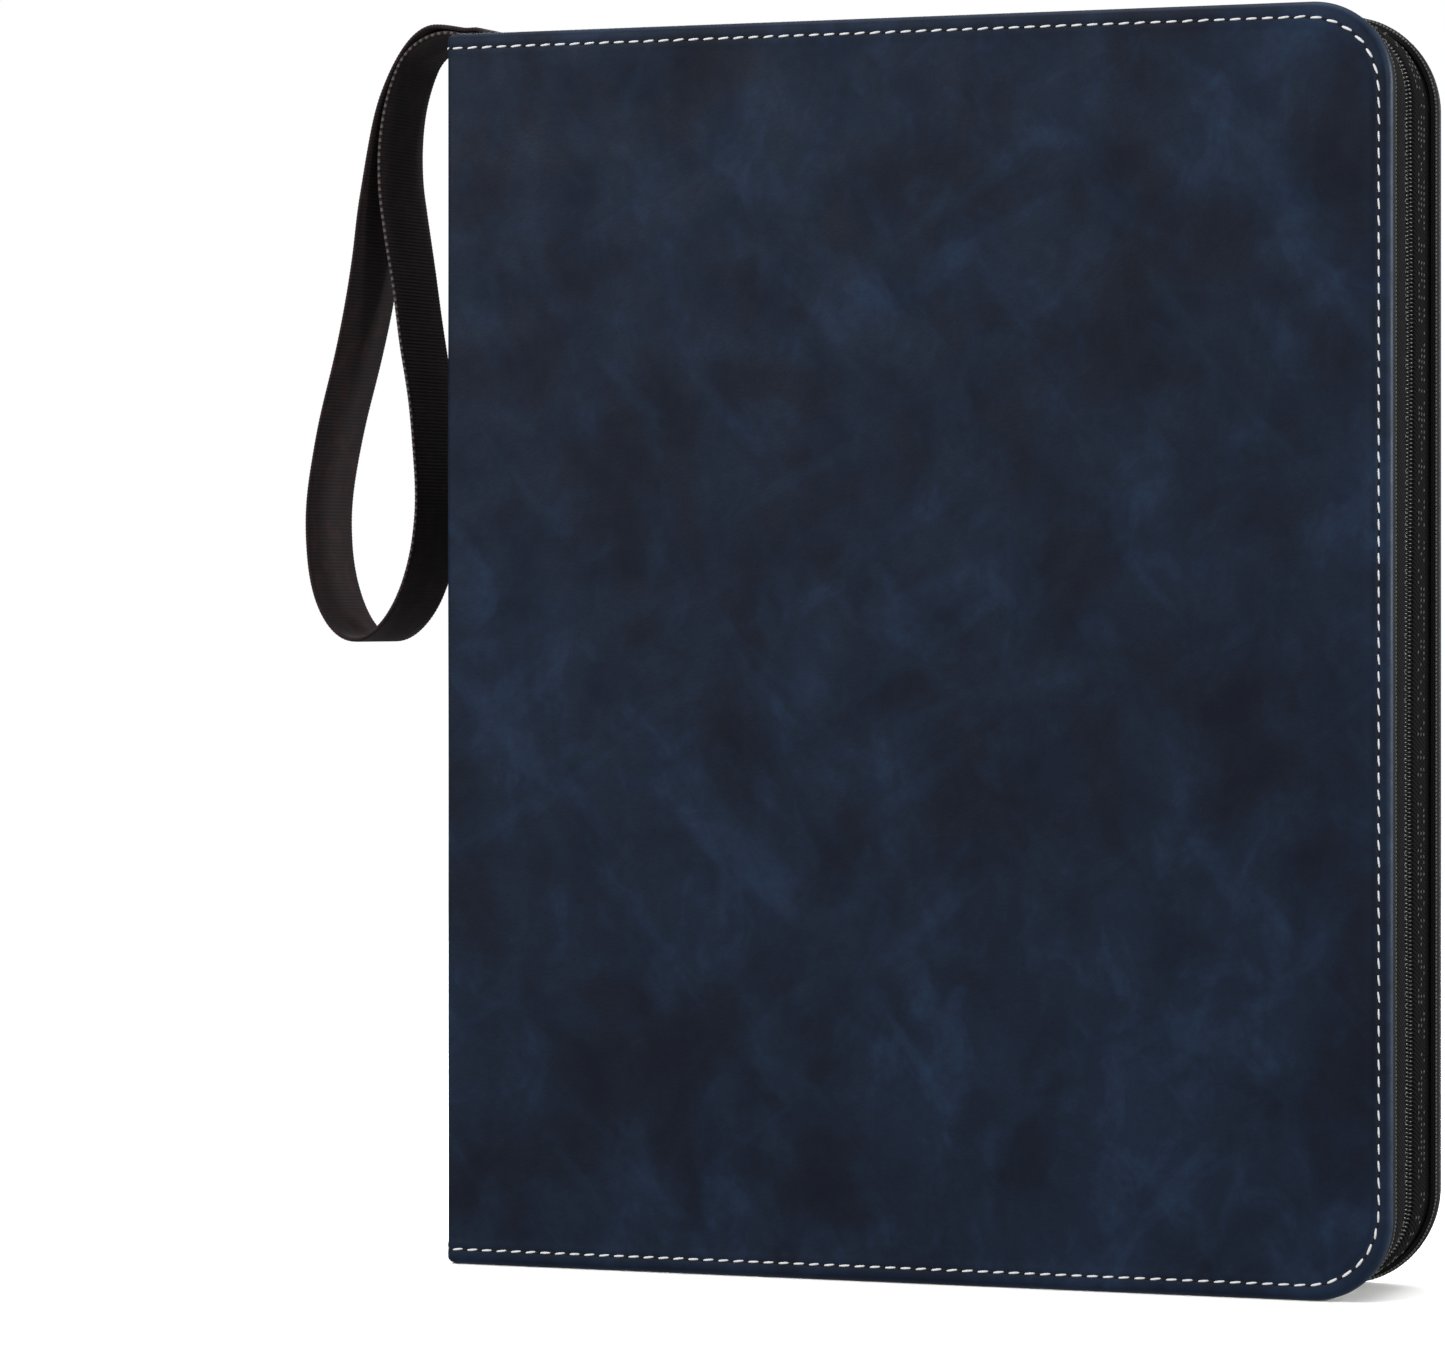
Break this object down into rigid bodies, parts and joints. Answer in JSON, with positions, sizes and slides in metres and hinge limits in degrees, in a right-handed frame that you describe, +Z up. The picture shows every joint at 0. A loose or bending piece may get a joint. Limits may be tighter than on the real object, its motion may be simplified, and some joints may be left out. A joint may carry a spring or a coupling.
{
  "type": "trading card binder",
  "caption": "Zip-round ring binder with a leather-look case, nickel rings, nine-pocket card leaves and a webbing wrist strap at the spine.",
  "frame": {"origin": "middle of the bounding box's base with the binder closed and standing upright, the hanging wrist strap included; this lies 24 mm from the middle of the case towards the spine", "axes": "+Z up along the spine; the front cover faces -Y and the back cover +Y; the spine is at the -X side and the zipped fore-edge at the +X side"},
  "size_m": [0.31, 0.05, 0.3345],
  "materials": {
    "leather": "dark navy waxed leather-look polyurethane with lighter blue clouds and worn edges",
    "board": "grey-brown pressed board",
    "lining": "black brushed nylon lining",
    "tape": "black woven polyester zip tape and binding",
    "coil": "black nylon zip coil with a slight shine",
    "webbing": "black ribbed polyester webbing",
    "nickel": "polished nickel plate",
    "gunmetal": "dark gunmetal zip hardware",
    "rubber": "soft matt black rubber",
    "leaf": "clear film over a dark grey backing, welded into pockets"
  },
  "bodies": {
    "back_cover": {"back_leather": "leather", "back_board": "board", "back_lining": "lining", "back_edge_binding": "tape", "back_gusset": "tape", "back_zip_tape": "tape", "back_zip_coil": "coil", "zip_top_stop": "gunmetal", "zip_bottom_stop": "gunmetal"},
    "front_cover": {"front_leather": "leather", "front_board": "board", "front_lining": "lining", "front_edge_binding": "tape", "front_zip_tape": "tape", "front_zip_coil": "coil"},
    "spine": {"spine_leather": "leather", "spine_board": "board", "spine_lining": "lining", "spine_top_gusset": "tape", "spine_bottom_gusset": "tape", "strap_anchor": "webbing", "ring_cover_plate": "nickel", "upper_rivet": "nickel", "lower_rivet": "nickel"},
    "left_rings": {"left_ring_blade": "nickel", "left_half_ring_1": "nickel", "left_half_ring_2": "nickel", "left_half_ring_3": "nickel"},
    "right_rings": {"right_ring_blade": "nickel", "right_half_ring_1": "nickel", "right_half_ring_2": "nickel", "right_half_ring_3": "nickel"},
    "upper_trigger": {"upper_lever": "nickel"},
    "lower_trigger": {"lower_lever": "nickel"},
    "left_pages": {"left_leaf_01": "leaf", "left_leaf_02": "leaf", "left_leaf_03": "leaf", "left_leaf_04": "leaf", "left_leaf_05": "leaf", "left_leaf_06": "leaf", "left_leaf_07": "leaf", "left_leaf_08": "leaf"},
    "right_pages": {"right_leaf_01": "leaf", "right_leaf_02": "leaf", "right_leaf_03": "leaf", "right_leaf_04": "leaf", "right_leaf_05": "leaf", "right_leaf_06": "leaf", "right_leaf_07": "leaf", "right_leaf_08": "leaf"},
    "strap_loop": {"wrist_strap": "webbing"},
    "slider": {"zip_slider": "gunmetal"},
    "pull": {"pull_link": "gunmetal", "pull_tab": "rubber"}
  },
  "joints": [
    {"name": "spine_fold", "type": "hinge", "parent": "back_cover", "child": "spine", "pos_m": [-0.107, 0.025, 0.165], "axis": [0, 0, -1], "range_deg": [0, 90]},
    {"name": "front_cover_open", "type": "hinge", "parent": "spine", "child": "front_cover", "pos_m": [-0.107, -0.025, 0.165], "axis": [0, 0, -1], "range_deg": [0, 90]},
    {"name": "right_pages_turn", "type": "hinge", "parent": "spine", "child": "right_pages", "pos_m": [-0.0855, 0, 0.165], "axis": [0, 0, 1], "range_deg": [0, 90]},
    {"name": "left_pages_turn", "type": "hinge", "parent": "spine", "child": "left_pages", "pos_m": [-0.0855, 0, 0.165], "axis": [0, 0, -1], "range_deg": [0, 90]},
    {"name": "ring_open", "type": "hinge", "parent": "spine", "child": "left_rings", "pos_m": [-0.0996, 0, 0.165], "axis": [0, 0, -1], "range_deg": [0, 10]},
    {"name": "right_ring_open", "type": "hinge", "parent": "spine", "child": "right_rings", "pos_m": [-0.0996, 0, 0.165], "axis": [0, 0, 1], "range_deg": [0, 10]},
    {"name": "upper_lever_tilt", "type": "hinge", "parent": "spine", "child": "upper_trigger", "pos_m": [-0.1005, 0, 0.306], "axis": [0, -1, 0], "range_deg": [0, 30]},
    {"name": "lower_lever_tilt", "type": "hinge", "parent": "spine", "child": "lower_trigger", "pos_m": [-0.1005, 0, 0.024], "axis": [0, 1, 0], "range_deg": [0, 30]},
    {"name": "strap_swing", "type": "hinge", "parent": "spine", "child": "strap_loop", "pos_m": [-0.1076, 0, 0.3337], "axis": [0, 1, 0], "range_deg": [0, 150]},
    {"name": "zip_slide", "type": "slide", "parent": "back_cover", "child": "slider", "axis": [1, 0, 0], "range_m": [0, 0.2]},
    {"name": "pull_flip", "type": "hinge", "parent": "slider", "child": "pull", "pos_m": [-0.0864, 0, 0.3303], "axis": [0, -1, 0], "range_deg": [0, 100]}
  ],
  "couplings": [
    {"joint": "right_pages_turn", "follows": "spine_fold", "ratio": 1},
    {"joint": "left_pages_turn", "follows": "front_cover_open", "ratio": 1},
    {"joint": "right_ring_open", "follows": "ring_open", "ratio": 1},
    {"joint": "upper_lever_tilt", "follows": "ring_open", "ratio": 3},
    {"joint": "lower_lever_tilt", "follows": "ring_open", "ratio": 3}
  ]
}
